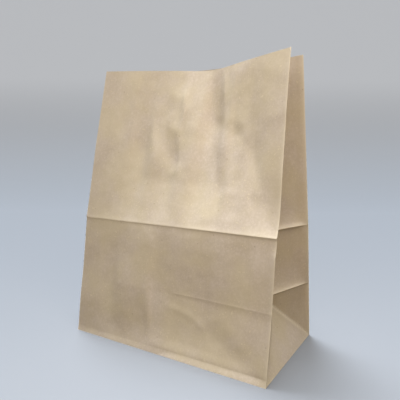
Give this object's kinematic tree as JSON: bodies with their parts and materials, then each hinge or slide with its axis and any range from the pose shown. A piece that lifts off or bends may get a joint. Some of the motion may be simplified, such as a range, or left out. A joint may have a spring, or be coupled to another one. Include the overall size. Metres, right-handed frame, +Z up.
{
  "type": "paper lunch bag",
  "caption": "Block bottom kraft paper bag with pleated sides, a fold round its waist and a pinked mouth, standing open and empty.",
  "frame": {"origin": "on the ground under the middle of the block bottom", "axes": "+Z up, -Y out of the front panel, +X to the right along the front"},
  "size_m": [0.2079, 0.1141, 0.2691],
  "materials": {
    "kraft_paper": "matt unbleached kraft"
  },
  "bodies": {
    "root": {"paper_bag": "kraft_paper"}
  },
  "joints": []
}
